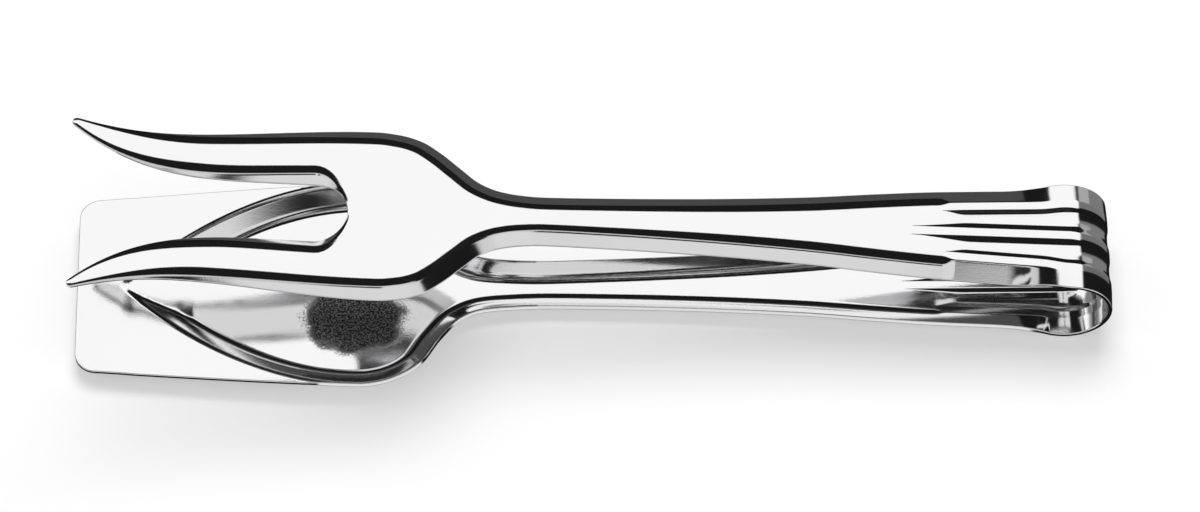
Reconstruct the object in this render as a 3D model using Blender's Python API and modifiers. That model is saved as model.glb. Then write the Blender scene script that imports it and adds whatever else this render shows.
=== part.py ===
"""Serving tongs pressed from one strip of stainless steel.

The strip starts as a spatula, bends round a spring bow at the back and ends as a two-tined fork.
It has no pin or rivet: it opens and closes because the bow flexes. So the strip is cut where it
flexes, into the two stiff arms and a row of equal bow segments, with thin seams between them.

The bow bends evenly. Each seam then turns by the same small angle, so a piece that comes after
some seams turns by the sum of theirs, about the middle of those seams. That middle is its pivot.

Everything is in metres. X runs along the tongs, heads at -X and bow at +X. Z is up, and the
tongs lie on their spatula, so the fork is above.
"""

import math

import bmesh
import bpy
import numpy as np
from mathutils import Vector
from mathutils.geometry import delaunay_2d_cdt

# The strip and its bend

LENGTH = 0.240
SHEET = 0.0010
BOW_RADIUS = 0.0108
ARM_SPREAD = math.radians(4.6)
ARM_TURN = math.radians(12.0)
SEAM_GAP = 0.00042
BOW_SEGMENTS = 6
FACETS_PER_SEGMENT = 6

# The handles, alike on both arms. A station is a distance along the arm from the end of the bow.

BOW_HALF_WIDTH = 0.0142
NECK_STATION = 0.122
NECK_HALF_WIDTH = 0.0067
HANDLE_WIDTH_SHARES = (
    (0.00, 1.00), (0.05, 0.90), (0.13, 0.83), (0.26, 0.71), (0.36, 0.57),
    (0.50, 0.35), (0.70, 0.15), (0.88, 0.04), (1.00, 0.00),
)

# The pressed skirt along both edges: how far the rim stands off the crown, and over what width.
# The bow's skirts are nearly flat, so that it can flex.

BOW_RIM_DEPTH = 0.0006
HANDLE_RIM_DEPTH = 0.0019
FULL_RIM_STATION = 0.016
HANDLE_SKIRT_WIDTH = 0.0045
HEAD_RIM_DEPTH = 0.0024
HEAD_SKIRT_WIDTH = 0.0043
CREASE_WIDTH = 0.0020
BOW_CREASE_WIDTH = 0.0008

# The two flutes pressed into the back of each handle and round the bow. They leave a rib between
# them and one along each crease. Each flute is deeper first along the middle rib.

FLUTE_DEPTH = 0.00065
MIDDLE_RIB_HALF_WIDTH = 0.0011
MIDDLE_FLANK_WIDTH = 0.0013
MIDDLE_FLANK_STATION = 0.039
MIDDLE_FLANK_FADE = 0.009
OUTER_RIB_WIDTH = 0.00205
OUTER_FLANK_WIDTH = 0.0009
OUTER_FLANK_STATION = 0.027
OUTER_FLANK_FADE = 0.006

# The fork head

FORK_REACH = 0.2303
FORK_WIDE_STATION = 0.160
FORK_HALF_WIDTH = 0.0232
FORK_SHOULDER_SHARES = (
    (0.00, 0.00), (0.13, 0.02), (0.25, 0.07), (0.37, 0.19), (0.49, 0.43),
    (0.61, 0.68), (0.73, 0.87), (0.85, 0.96), (1.00, 1.00),
)
TINE_WAIST_STATION = 0.2075
TINE_WAIST_HALF_WIDTH = 0.0200
TINE_TIP_SPREAD = 0.0220
TINE_TIP_RADIUS = 0.0012
TINE_GAP_HALF_WIDTH = 0.0076
TINE_GAP_STATION = 0.1668
TINE_FLARE_STATION = 0.185
TINE_RIM_DEPTH = 0.0017
TINE_SKIRT_WIDTH = 0.0033
TINE_SKIRT_STATION = 0.199
TIP_RIM_DEPTH = 0.0004
TIP_SKIRT_WIDTH = 0.0007

# The spatula head

BLADE_WIDE_STATION = 0.163
BLADE_HALF_WIDTH = 0.0280
BLADE_END_HALF_WIDTH = 0.0237
BLADE_CORNER_RADIUS = 0.0050
BLADE_TAPER_POWER = 1.2
BLADE_SHOULDER_SHARES = (
    (0.00, 0.00), (0.21, 0.02), (0.32, 0.05), (0.44, 0.16), (0.55, 0.40),
    (0.66, 0.72), (0.78, 0.89), (0.89, 0.97), (1.00, 1.00),
)
LEAF_DEPTH = 0.0033
LEAF_TIP_STATION = 0.2196
LEAF_WALL_WIDTH = 0.0058

# How finely the curves are drawn

HANDLE_STEPS = 30
SHOULDER_STEPS = 16
HEAD_EDGE_STEPS = 14
ARC_STEPS = 8
LEAF_STEPS = 26
BEND_STEPS = 3
FLUTE_STEPS = 24
CENTRE_STEPS = 24
CENTRE_SEARCH_STEPS = 600

# Points nearer to an edge than these are left out, or counted as one

LEAF_MARGIN = 0.0008
CLOSENESS_SHARE = 0.97
MERGE_DISTANCE = 0.00001

# The steel

STEEL_COLOUR = (0.78, 0.78, 0.79, 1.0)
STEEL_ROUGHNESS = 0.12
SHARP_EDGE_ANGLE = math.radians(35.0)

# Worked out from the sizes above

MID_RADIUS = BOW_RADIUS - SHEET / 2
BOW_TURN = math.pi - ARM_SPREAD
SEGMENT_TURN = (BOW_TURN - 2 * ARM_TURN) / BOW_SEGMENTS
SEAM_STATION = -ARM_TURN * MID_RADIUS
ARM_START = SEAM_STATION + SEAM_GAP / 2
BOW_START_X = LENGTH / 2 - BOW_RADIUS
BLADE_REACH = LENGTH / 2 + BOW_START_X
CROWN_HALF_WIDTH = BOW_HALF_WIDTH - HANDLE_SKIRT_WIDTH


# Curves

def smooth_through(points):
    """Give a curve through (place, value) points that never swings past them."""
    places, values = np.array(points, dtype=float).T
    rises = np.diff(values) / np.diff(places)
    slopes = np.zeros(len(places))
    for i in range(1, len(rises)):
        if rises[i - 1] * rises[i] > 0:
            slopes[i] = 2 / (1 / rises[i - 1] + 1 / rises[i])

    def value(place):
        place = min(max(place, places[0]), places[-1])
        i = min(int(np.searchsorted(places, place, side="right")) - 1, len(rises) - 1)
        step = places[i + 1] - places[i]
        t = (place - places[i]) / step
        return float(
            (1 + 2 * t) * (1 - t) ** 2 * values[i] + t * t * (3 - 2 * t) * values[i + 1]
            + t * (1 - t) ** 2 * step * slopes[i] - t * t * (1 - t) * step * slopes[i + 1]
        )

    return value


def ease(value):
    """Go smoothly from 0 to 1 as value does."""
    value = min(max(value, 0.0), 1.0)
    return value * value * (3 - 2 * value)


def line_distances(points, line):
    """Distance from each point to a line of straight pieces."""
    points = np.array(points, dtype=float)
    line = np.array(line, dtype=float)
    starts, runs = line[:-1], np.diff(line, axis=0)
    offsets = points[:, None, :] - starts[None, :, :]
    shares = (offsets * runs).sum(axis=2) / (runs * runs).sum(axis=1)
    nearest = starts + np.clip(shares, 0, 1)[:, :, None] * runs
    return np.linalg.norm(points[:, None, :] - nearest, axis=2).min(axis=1)


def arc_points(centre, radius, start, stop, steps):
    """Points on an arc, from one angle to another."""
    return [
        (centre[0] + radius * math.cos(angle), centre[1] + radius * math.sin(angle))
        for angle in np.linspace(start, stop, steps + 1)
    ]


def set_in(line, widths):
    """Move each point of an edge inwards by its width, and drop those that land too near."""
    line = np.array(line, dtype=float)
    along = np.gradient(line, axis=0)
    along /= np.linalg.norm(along, axis=1)[:, None]
    inward = np.stack([-along[:, 1], along[:, 0]], axis=1)
    moved = line + inward * np.array(widths)[:, None]
    gaps = line_distances(moved, line)
    return [
        tuple(point) for point, gap, width in zip(moved, gaps, widths)
        if gap > CLOSENESS_SHARE * width and point[1] > BOW_CREASE_WIDTH and point[0] > ARM_START
    ]


def centre_crossing(line, width_at):
    """Where the line set in by its width meets the centre line, next to the head's end."""
    stations = np.linspace(line[0][0], NECK_STATION, CENTRE_SEARCH_STEPS)
    gaps = line_distances([(station, 0.0) for station in stations], line)
    spare = [gap - width_at(station) for gap, station in zip(gaps, stations)]
    after = next(i for i, value in enumerate(spare) if value > 0)
    return float(np.interp(0.0, spare[after - 1:after + 1], stations[after - 1:after + 1])), 0.0


# The handles and flutes

bend_stations = np.linspace(ARM_START, 0, BEND_STEPS + 1)
handle_share = smooth_through(HANDLE_WIDTH_SHARES)
crease_width = smooth_through((
    (OUTER_FLANK_STATION - OUTER_FLANK_FADE, BOW_CREASE_WIDTH), (MIDDLE_FLANK_STATION, CREASE_WIDTH),
))


def handle_half_width(station):
    share = handle_share(station / NECK_STATION)
    return NECK_HALF_WIDTH + (BOW_HALF_WIDTH - NECK_HALF_WIDTH) * share


def flute_lines(station):
    """Half-section of the crown: (distance from the centre line, offset) where it turns."""
    middle = FLUTE_DEPTH * ease((MIDDLE_FLANK_STATION - station) / MIDDLE_FLANK_FADE)
    outer = FLUTE_DEPTH * ease((OUTER_FLANK_STATION - station) / OUTER_FLANK_FADE)
    outer_rib = handle_half_width(station) - HANDLE_SKIRT_WIDTH - OUTER_RIB_WIDTH
    return [
        (0.0, 0.0),
        (MIDDLE_RIB_HALF_WIDTH, 0.0),
        (MIDDLE_RIB_HALF_WIDTH + MIDDLE_FLANK_WIDTH, -middle),
        (outer_rib - OUTER_FLANK_WIDTH, -outer),
        (outer_rib, 0.0),
    ]


def flute_offset(station, y):
    if station > MIDDLE_FLANK_STATION:
        return 0.0
    places, offsets = zip(*flute_lines(station))
    return float(np.interp(y, places, offsets))


def bow_section():
    """Half-section of the bow, from the centre line to the rim."""
    half_crease = BOW_CREASE_WIDTH / 2
    return [
        *flute_lines(ARM_START),
        (CROWN_HALF_WIDTH - half_crease, 0.0),
        (CROWN_HALF_WIDTH + half_crease, -BOW_RIM_DEPTH * half_crease / HANDLE_SKIRT_WIDTH),
        (BOW_HALF_WIDTH, -BOW_RIM_DEPTH),
    ]


def flute_points():
    """Points along the turns of the flutes, up to where each flank ends."""
    points = [(ARM_START, y) for y, _ in bow_section()[1:-1]]
    stations = [*bend_stations[1:-1], *np.linspace(0, MIDDLE_FLANK_STATION, FLUTE_STEPS + 1)]
    for station in stations:
        lines = flute_lines(station)
        turns = lines[1:] if station < OUTER_FLANK_STATION else lines[1:3]
        points += [(station, y) for y, _ in turns]
    return points


# The outline of each arm, as one half that a mirror completes

def handle_edge():
    """The handle's edge, from the neck to the seam."""
    stations = [*np.linspace(NECK_STATION, 0, HANDLE_STEPS + 1)[1:-1], *bend_stations[::-1]]
    return [(station, handle_half_width(station)) for station in stations]


def shoulder_edge(shares, wide_station, half_width):
    """The edge that widens from the neck to the head, from the head back to the neck."""
    widening = smooth_through(shares)
    return [
        (NECK_STATION + (wide_station - NECK_STATION) * share,
         NECK_HALF_WIDTH + (half_width - NECK_HALF_WIDTH) * widening(share))
        for share in np.linspace(1, 0, SHOULDER_STEPS + 1)
    ]


def fork_edge():
    """The fork arm's free edge, from the middle of the tine gap round a tine to the seam."""
    gap_centre = (TINE_GAP_STATION + TINE_GAP_HALF_WIDTH, 0.0)
    tip_centre = (FORK_REACH - TINE_TIP_RADIUS, TINE_TIP_SPREAD)
    inner_rise = TINE_TIP_SPREAD - TINE_GAP_HALF_WIDTH - TINE_TIP_RADIUS
    inner_slope = math.atan2(3 * inner_rise, tip_centre[0] - TINE_FLARE_STATION)
    outer_rise = TINE_TIP_SPREAD + TINE_TIP_RADIUS - TINE_WAIST_HALF_WIDTH
    outer_slope = math.atan2(2 * outer_rise, tip_centre[0] - TINE_WAIST_STATION)
    tip = arc_points(
        tip_centre, TINE_TIP_RADIUS, inner_slope - math.pi / 2, outer_slope + math.pi / 2, ARC_STEPS,
    )

    edge = arc_points(gap_centre, TINE_GAP_HALF_WIDTH, math.pi, math.pi / 2, ARC_STEPS)
    for share in np.linspace(0, 1, HEAD_EDGE_STEPS + 1)[:-1]:
        station = TINE_FLARE_STATION + (tip[0][0] - TINE_FLARE_STATION) * share
        edge.append((station, TINE_GAP_HALF_WIDTH + (tip[0][1] - TINE_GAP_HALF_WIDTH) * share ** 3))
    edge += tip
    for share in np.linspace(1, 0, HEAD_EDGE_STEPS // 2 + 1)[1:]:
        station = TINE_WAIST_STATION + (tip[-1][0] - TINE_WAIST_STATION) * share
        rise = (tip[-1][1] - TINE_WAIST_HALF_WIDTH) * share ** 2
        edge.append((station, TINE_WAIST_HALF_WIDTH + rise))
    for share in np.linspace(1, 0, HEAD_EDGE_STEPS // 2 + 1)[1:-1]:
        station = FORK_WIDE_STATION + (TINE_WAIST_STATION - FORK_WIDE_STATION) * share
        fall = (FORK_HALF_WIDTH - TINE_WAIST_HALF_WIDTH) * ease(share)
        edge.append((station, FORK_HALF_WIDTH - fall))
    edge += shoulder_edge(FORK_SHOULDER_SHARES, FORK_WIDE_STATION, FORK_HALF_WIDTH)
    return edge + handle_edge()


def blade_half_width(station):
    corner_station = BLADE_REACH - BLADE_CORNER_RADIUS
    share = max(station - BLADE_WIDE_STATION, 0.0) / (corner_station - BLADE_WIDE_STATION)
    fall = (BLADE_HALF_WIDTH - BLADE_END_HALF_WIDTH) * share ** BLADE_TAPER_POWER
    return BLADE_HALF_WIDTH - fall


def spatula_edge():
    """The spatula arm's free edge, from the middle of the blade's end to the seam."""
    corner_station = BLADE_REACH - BLADE_CORNER_RADIUS
    corner = (corner_station, BLADE_END_HALF_WIDTH - BLADE_CORNER_RADIUS)
    edge = [(BLADE_REACH, 0.0), (BLADE_REACH, corner[1] / 2)]
    edge += arc_points(corner, BLADE_CORNER_RADIUS, 0.0, math.pi / 2, ARC_STEPS)
    for share in np.linspace(1, 0, HEAD_EDGE_STEPS + 1)[1:-1]:
        station = BLADE_WIDE_STATION + (corner_station - BLADE_WIDE_STATION) * share
        edge.append((station, blade_half_width(station)))
    edge += shoulder_edge(BLADE_SHOULDER_SHARES, BLADE_WIDE_STATION, BLADE_HALF_WIDTH)
    return edge + handle_edge()


def leaf_half_width(share):
    """Half-width of the leaf, from 0 at its tip to the blade's own at its widest place."""
    return BLADE_HALF_WIDTH * (1 - (1 - max(share, 0.0)) ** 2)


def leaf_edge():
    """The pointed edge of the recess pressed into the blade, from its tip to the widest place."""
    return [
        (LEAF_TIP_STATION + (BLADE_WIDE_STATION - LEAF_TIP_STATION) * share, leaf_half_width(share))
        for share in np.linspace(0, 1, LEAF_STEPS + 1)
    ]


def crease_points(line, width_at):
    """Points on both sides of the crease where a skirt or wall of that width meets the flat."""
    points = []
    for side in (-1, 1):
        def place(station):
            width = width_at(station)
            return width + side * min(crease_width(station), width) / 2

        points += set_in(line, [place(station) for station, _ in line])
        points.append(centre_crossing(line, place))
    return points


# Making the pieces

def steel(name):
    """Polished stainless steel, the bright grey of the photographed strip."""
    material = bpy.data.materials.new(name)
    material.use_nodes = True
    shader = material.node_tree.nodes["Principled BSDF"]
    shader.inputs["Base Color"].default_value = STEEL_COLOUR
    shader.inputs["Metallic"].default_value = 1.0
    shader.inputs["Roughness"].default_value = STEEL_ROUGHNESS
    return material


def sheet_object(name, mesh, collection):
    """Make the object for half an open sheet: mirror it, then give it the sheet's thickness."""
    sheet = bpy.data.objects.new(name, mesh)
    collection.objects.link(sheet)
    mirror = sheet.modifiers.new("other_half", "MIRROR")
    mirror.use_axis = (False, True, False)
    mirror.merge_threshold = MERGE_DISTANCE
    thicken = sheet.modifiers.new("sheet_thickness", "SOLIDIFY")
    thicken.thickness = SHEET
    thicken.offset = -1
    return sheet


def press_arm(name, edge, inner_points, offset_at):
    """Fill half an outline with triangles and press each point by its offset from the flat.

    The mesh is in the arm's own frame: the origin where the bow ends, on the outer face, X
    along the arm to its head and Z to the inside of the tongs. An offset is positive outwards.
    """
    flute_stations = np.linspace(0, MIDDLE_FLANK_STATION, FLUTE_STEPS + 1)
    later_stations = np.linspace(MIDDLE_FLANK_STATION, edge[0][0], CENTRE_STEPS + 1)
    stations = [*bend_stations[:-1], *flute_stations[:-1], *later_stations[:-1]]
    centre = [(station, 0.0) for station in stations]
    outline = edge + centre
    count = len(outline)
    loop = [(i, (i + 1) % count) for i in range(count)]
    points, _, triangles, *_ = delaunay_2d_cdt(
        outline + inner_points, loop, [list(range(count))], 1, MERGE_DISTANCE,
    )
    offsets = offset_at([tuple(point) for point in points])
    form = bmesh.new()
    verts = []
    for (station, y), offset in zip(points, offsets):
        radius = BOW_RADIUS + offset
        turn = -min(station, 0.0) / MID_RADIUS
        x = max(station, 0.0) - radius * math.sin(turn)
        verts.append(form.verts.new((x, y, BOW_RADIUS - radius * math.cos(turn))))
    for triangle in triangles:
        form.faces.new([verts[i] for i in reversed(triangle)])
    mesh = bpy.data.meshes.new(name)
    form.to_mesh(mesh)
    form.free()
    mesh.shade_smooth()
    mesh.set_sharp_from_angle(angle=SHARP_EDGE_ANGLE)
    mesh.materials.append(steel(name))
    return mesh


def fork_arm_mesh():
    """Upper arm: a flat crown with skirts turned down to the rim, all round the two tines."""
    edge = fork_edge()
    rim_depth = smooth_through((
        (SEAM_STATION, BOW_RIM_DEPTH), (FULL_RIM_STATION, HANDLE_RIM_DEPTH),
        (MIDDLE_FLANK_STATION, HANDLE_RIM_DEPTH), (NECK_STATION, HEAD_RIM_DEPTH),
        (FORK_WIDE_STATION, HEAD_RIM_DEPTH), (TINE_SKIRT_STATION, TINE_RIM_DEPTH),
        (FORK_REACH, TIP_RIM_DEPTH),
    ))
    skirt_width = smooth_through((
        (MIDDLE_FLANK_STATION, HANDLE_SKIRT_WIDTH), (NECK_STATION, HEAD_SKIRT_WIDTH),
        (FORK_WIDE_STATION, HEAD_SKIRT_WIDTH), (TINE_SKIRT_STATION, TINE_SKIRT_WIDTH),
        (FORK_REACH, TIP_SKIRT_WIDTH),
    ))

    def offset_at(points):
        return [
            flute_offset(station, y)
            - rim_depth(station) * max(0.0, 1 - gap / skirt_width(station))
            for (station, y), gap in zip(points, line_distances(points, edge))
        ]

    return press_arm("fork_arm", edge, flute_points() + crease_points(edge, skirt_width), offset_at)


def spatula_arm_mesh():
    """Lower arm: a channel that opens into a leaf-shaped recess in a flat blade."""
    edge = spatula_edge()
    leaf = leaf_edge()
    recess_edge = leaf + [point for point in edge if point[0] < BLADE_WIDE_STATION]
    rim_depth = smooth_through((
        (SEAM_STATION, BOW_RIM_DEPTH), (FULL_RIM_STATION, HANDLE_RIM_DEPTH),
        (MIDDLE_FLANK_STATION, HANDLE_RIM_DEPTH), (NECK_STATION, HEAD_RIM_DEPTH),
        (BLADE_WIDE_STATION, LEAF_DEPTH),
    ))
    wall_width = smooth_through((
        (MIDDLE_FLANK_STATION, HANDLE_SKIRT_WIDTH), (NECK_STATION, HEAD_SKIRT_WIDTH),
        (BLADE_WIDE_STATION, LEAF_WALL_WIDTH),
    ))

    def wall_share(station, y, gap):
        """How far up the recess wall a point is: 0 on the floor, 1 at the rim and beyond."""
        share = (LEAF_TIP_STATION - station) / (LEAF_TIP_STATION - BLADE_WIDE_STATION)
        beyond = share <= 0 or (share < 1 and y > leaf_half_width(share))
        return 1.0 if beyond else max(0.0, 1 - gap / wall_width(station))

    def offset_at(points):
        return [
            flute_offset(station, y) - rim_depth(station) * wall_share(station, y, gap)
            for (station, y), gap in zip(points, line_distances(points, recess_edge))
        ]

    drawn_leaf = [point for point in leaf if point[1] < blade_half_width(point[0]) - LEAF_MARGIN]
    inner = flute_points() + drawn_leaf + crease_points(recess_edge, wall_width)
    return press_arm("spatula_arm", edge, inner, offset_at)


def bow_segment_mesh():
    """One length of the bow, flutes and all, in the frame of its first seam.

    That frame lies in the middle of the sheet, X forward along the strip and Z to the inside.
    """
    section = bow_section()
    half_gap_turn = SEAM_GAP / 2 / MID_RADIUS
    turns = np.linspace(half_gap_turn, SEGMENT_TURN - half_gap_turn, FACETS_PER_SEGMENT + 1)
    form = bmesh.new()
    rows = []
    for turn in turns:
        rows.append([
            form.verts.new((
                (BOW_RADIUS + offset) * math.sin(turn), y,
                MID_RADIUS - (BOW_RADIUS + offset) * math.cos(turn),
            ))
            for y, offset in section
        ])
    for near, far in zip(rows, rows[1:]):
        for i in range(len(section) - 1):
            form.faces.new((near[i], near[i + 1], far[i + 1], far[i]))
    mesh = bpy.data.meshes.new("bow_segment")
    form.to_mesh(mesh)
    form.free()
    mesh.shade_smooth()
    mesh.set_sharp_from_angle(angle=SHARP_EDGE_ANGLE)
    mesh.materials.append(steel("bow_segment"))
    return mesh


def place_on_strip(turn, radius):
    """The place on the bow after that much turn from the lower arm, at that radius."""
    return Vector((BOW_START_X + radius * math.sin(turn), 0.0, BOW_RADIUS - radius * math.cos(turn)))


def pivot_empty(number, collection):
    """An empty on the pivot of the piece after that many seams. Turning it about Y flexes the bow."""
    seams = [place_on_strip(ARM_TURN + i * SEGMENT_TURN, MID_RADIUS) for i in range(number)]
    pivot = bpy.data.objects.new(f"pivot_{number}", None)
    pivot.empty_display_size = BOW_HALF_WIDTH
    pivot.location = sum(seams, Vector()) / number
    collection.objects.link(pivot)
    return pivot


def place_piece(piece, pivot, location, turn):
    """Put a piece at its place on the strip, as a child of its pivot."""
    piece.parent = pivot
    piece.location = location - pivot.location
    piece.rotation_euler = (0.0, -turn, 0.0)


def build_tongs():
    for old in list(bpy.data.objects):
        bpy.data.objects.remove(old, do_unlink=True)
    tongs = bpy.data.collections.new("serving_tongs")
    bpy.context.scene.collection.children.link(tongs)

    spatula_arm = sheet_object("spatula_arm", spatula_arm_mesh(), tongs)
    spatula_arm.location = place_on_strip(0.0, BOW_RADIUS)
    spatula_arm.rotation_euler = (0.0, 0.0, math.pi)

    segment_mesh = bow_segment_mesh()
    for number in range(1, BOW_SEGMENTS + 1):
        segment = sheet_object(f"bow_segment_{number}", segment_mesh, tongs)
        turn = ARM_TURN + (number - 1) * SEGMENT_TURN
        place_piece(segment, pivot_empty(number, tongs), place_on_strip(turn, MID_RADIUS), turn)

    fork_arm = sheet_object("fork_arm", fork_arm_mesh(), tongs)
    fork_pivot = pivot_empty(BOW_SEGMENTS + 1, tongs)
    place_piece(fork_arm, fork_pivot, place_on_strip(BOW_TURN, BOW_RADIUS), BOW_TURN)


build_tongs()
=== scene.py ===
"""Serving tongs of polished steel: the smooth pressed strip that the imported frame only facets.

The strip is drawn as one surface in three pieces. The spatula arm and the fork arm ride on their
bodies, and the bow between them bends from one to the other. A station is a distance along an
arm from the end of the bow, and an offset is how far the outer face stands off the arm's flat.
"""

import math

import bpy
import numpy as np
from mathutils import Matrix, Vector
from mathutils.geometry import delaunay_2d_cdt


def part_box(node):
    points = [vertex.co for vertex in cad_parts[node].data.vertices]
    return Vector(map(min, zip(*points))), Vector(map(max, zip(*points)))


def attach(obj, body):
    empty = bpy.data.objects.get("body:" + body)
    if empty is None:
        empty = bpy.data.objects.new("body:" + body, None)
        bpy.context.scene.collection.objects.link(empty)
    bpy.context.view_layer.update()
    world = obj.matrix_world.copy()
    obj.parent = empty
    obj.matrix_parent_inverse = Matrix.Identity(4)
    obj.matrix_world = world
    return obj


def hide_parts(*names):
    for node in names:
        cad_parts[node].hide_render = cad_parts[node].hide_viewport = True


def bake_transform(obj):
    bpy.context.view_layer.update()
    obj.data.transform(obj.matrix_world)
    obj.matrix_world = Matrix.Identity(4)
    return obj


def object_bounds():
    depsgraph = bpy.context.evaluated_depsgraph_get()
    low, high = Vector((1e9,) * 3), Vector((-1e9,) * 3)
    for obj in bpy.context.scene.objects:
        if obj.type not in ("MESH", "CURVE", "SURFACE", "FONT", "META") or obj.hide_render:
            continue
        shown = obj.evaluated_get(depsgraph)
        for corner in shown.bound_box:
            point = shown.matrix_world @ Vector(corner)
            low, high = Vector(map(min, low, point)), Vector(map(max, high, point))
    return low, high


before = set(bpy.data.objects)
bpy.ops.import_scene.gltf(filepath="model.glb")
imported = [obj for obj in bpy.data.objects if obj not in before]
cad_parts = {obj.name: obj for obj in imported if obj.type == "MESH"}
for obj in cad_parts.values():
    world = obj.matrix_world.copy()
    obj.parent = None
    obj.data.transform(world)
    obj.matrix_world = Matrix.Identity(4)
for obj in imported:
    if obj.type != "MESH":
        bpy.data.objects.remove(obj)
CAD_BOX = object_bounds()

bl_info = {
    "name": "Serving Tongs",
    "version": (1, 0, 0),
    "blender": (4, 5, 0),
    "location": "3D View > Sidebar > Tongs",
    "description": "Builds the polished strip of a pair of serving tongs and its studio",
    "category": "Add Mesh",
}

# The strip and its bend

SHEET = 0.0010
BOW_RADIUS = 0.0108
ARM_SPREAD = math.radians(4.6)

# The handles

BOW_HALF_WIDTH = 0.0142
NECK_STATION = 0.122
NECK_HALF_WIDTH = 0.0067
HANDLE_WIDTH_SHARES = (
    (0.00, 1.00), (0.05, 0.90), (0.13, 0.83), (0.26, 0.71), (0.36, 0.57),
    (0.50, 0.35), (0.70, 0.15), (0.88, 0.04), (1.00, 0.00),
)

# The pressed skirts at the bow, and the narrow facet above them, which starts a little way off

BOW_RIM_DEPTHS = (
    (0.0, 0.00020), (0.0030, 0.00024), (0.0042, 0.00045), (0.0074, 0.00105),
    (0.0105, 0.00170), (0.015, 0.00210),
)
BOW_SKIRT_WIDTH = 0.00425
BOW_CREASE_WIDTH = 0.0006
BOW_FACET_WIDTH = 0.00025
FACET_SLOPE = 0.165
FACET_START_STATION = 0.027
FACET_FULL_STATION = 0.030

# The flutes, and the rounding of their corners

CROWN_INSET = 0.0045
MIDDLE_RIB_HALF_WIDTH = 0.0011
MIDDLE_FLANK_DEPTH = 0.00028
MIDDLE_FLANK_WIDTH = 0.0014
MIDDLE_FLANK_STATION = 0.039
MIDDLE_FLANK_FADE = 0.017
OUTER_RIB_WIDTH = 0.00205
OUTER_FLANK_DEPTH = 0.00024
OUTER_FLANK_WIDTH = 0.0010
OUTER_FLANK_STATION = 0.0300
OUTER_FLANK_FADE = 0.006
LEAST_FLANK_SHARE = 0.12
CORNER_SHARE = 0.45
FLOOR_SAG_SLOPE = 0.045
FLOOR_SAG_WIDTH_SHARE = 0.5

# The fork head

FORK_REACH = 0.2303
FORK_WIDE_STATION = 0.160
FORK_HALF_WIDTH = 0.0232
FORK_SHOULDER_SHARES = (
    (0.00, 0.00), (0.13, 0.02), (0.25, 0.07), (0.37, 0.19), (0.49, 0.43),
    (0.61, 0.68), (0.73, 0.87), (0.85, 0.96), (1.00, 1.00),
)
TINE_WAIST_STATION = 0.2075
TINE_WAIST_HALF_WIDTH = 0.0200
TINE_TIP_SPREAD = 0.0220
TINE_TIP_RADIUS = 0.0012
TINE_GAP_HALF_WIDTH = 0.0076
TINE_GAP_STATION = 0.1668
TINE_FLARE_STATION = 0.185
GAP_END_REACH = 0.017
GAP_END_FADE = 0.003
GAP_END_SHARE = 0.8

# Its skirts, on the handle, at the neck, at the widest place, on the tines and at their tips

FORK_STATIONS = (0.055, NECK_STATION, FORK_WIDE_STATION, 0.199, FORK_REACH)
FORK_RIM_DEPTHS = (0.0020, 0.00185, 0.0019, 0.0009, 0.0002)
FORK_SKIRT_WIDTHS = (0.0029, 0.0031, 0.0028, 0.0013, 0.0004)
FORK_FACET_WIDTHS = (0.0023, 0.0016, 0.0020, 0.0021, 0.0004)
FORK_CREASE_WIDTH = 0.0008

# The spatula head

BLADE_WIDE_STATION = 0.163
BLADE_HALF_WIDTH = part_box("spatula_arm")[1].y
BLADE_END_HALF_WIDTH = 0.0237
BLADE_CORNER_RADIUS = 0.0050
BLADE_TAPER_POWER = 1.2
BLADE_SHOULDER_SHARES = (
    (0.00, 0.00), (0.21, 0.02), (0.32, 0.05), (0.44, 0.16), (0.55, 0.40),
    (0.66, 0.72), (0.78, 0.89), (0.89, 0.97), (1.00, 1.00),
)
LEAF_TIP_STATION = 0.2196
LEAF_TOP_CREASE_WIDTH = 0.0012
LEAF_TIP_BLEND = 0.0030
LEAF_TIP_EXTENSION = 0.008
LEAF_DISH_LENGTH = 0.018
LEAF_DISH_BLEND = 0.0006

# Its skirts, which are steeper, on the handle, at the neck and, as the leaf's wall, on the blade

SPATULA_STATIONS = (0.060, NECK_STATION, BLADE_WIDE_STATION)
SPATULA_RIM_DEPTHS = (0.0024, 0.0024, 0.0033)
SPATULA_WALL_WIDTHS = (0.00405, 0.00405, 0.0048)
SPATULA_CREASE_WIDTHS = (0.0034, 0.0034, 0.0030)
SPATULA_FIRST_CREASE_WIDTH = 0.0027

# How finely the surface is drawn

CURVE_STEPS = 60
LEAF_EDGE_STEPS = 159
EDGE_SPACING = 0.0008
FILL_SPACING = 0.0014
FILL_CLEARANCE = 0.7 * FILL_SPACING
FLUTE_ROW_SPACING = 0.0009
LEAF_TIP_REACH = 0.014
LEAF_TIP_SPACING = 0.0007
BOW_STEPS = 110
RIM_STEPS = 4
SKIRT_SHARES = (0.2, 0.4, 0.6, 0.8)
CREASE_SHARES = (-0.5, -0.25, 0.0, 0.25, 0.5)
TOP_CREASE_SHARES = (0.5, 0.0, -0.5)
CLOSENESS_SHARE = 0.985
SLOPE_STEP = 0.00002
MERGE_DISTANCE = 0.000001

# Worked out from the sizes above

BOW_TURN = math.pi - ARM_SPREAD
BOW_START_X = CAD_BOX[1].x - BOW_RADIUS
BLADE_REACH = BOW_START_X - CAD_BOX[0].x
BLADE_CORNER_STATION = BLADE_REACH - BLADE_CORNER_RADIUS
LEAF_TIP_SLOPE = 2 * BLADE_HALF_WIDTH / (LEAF_TIP_STATION - BLADE_WIDE_STATION)

# The camera, as fitted to the outline in the photograph

CAMERA_PLACE = (-0.00916, -0.78392, 1.22194)
CAMERA_TARGET = (0.00178, 0.00954, 0.0)
CAMERA_ROLL = math.radians(0.1)
CAMERA_LENS_SHARE = 5.181
CAMERA_CLIP = (0.1, 20.0)


# Curves

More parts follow.
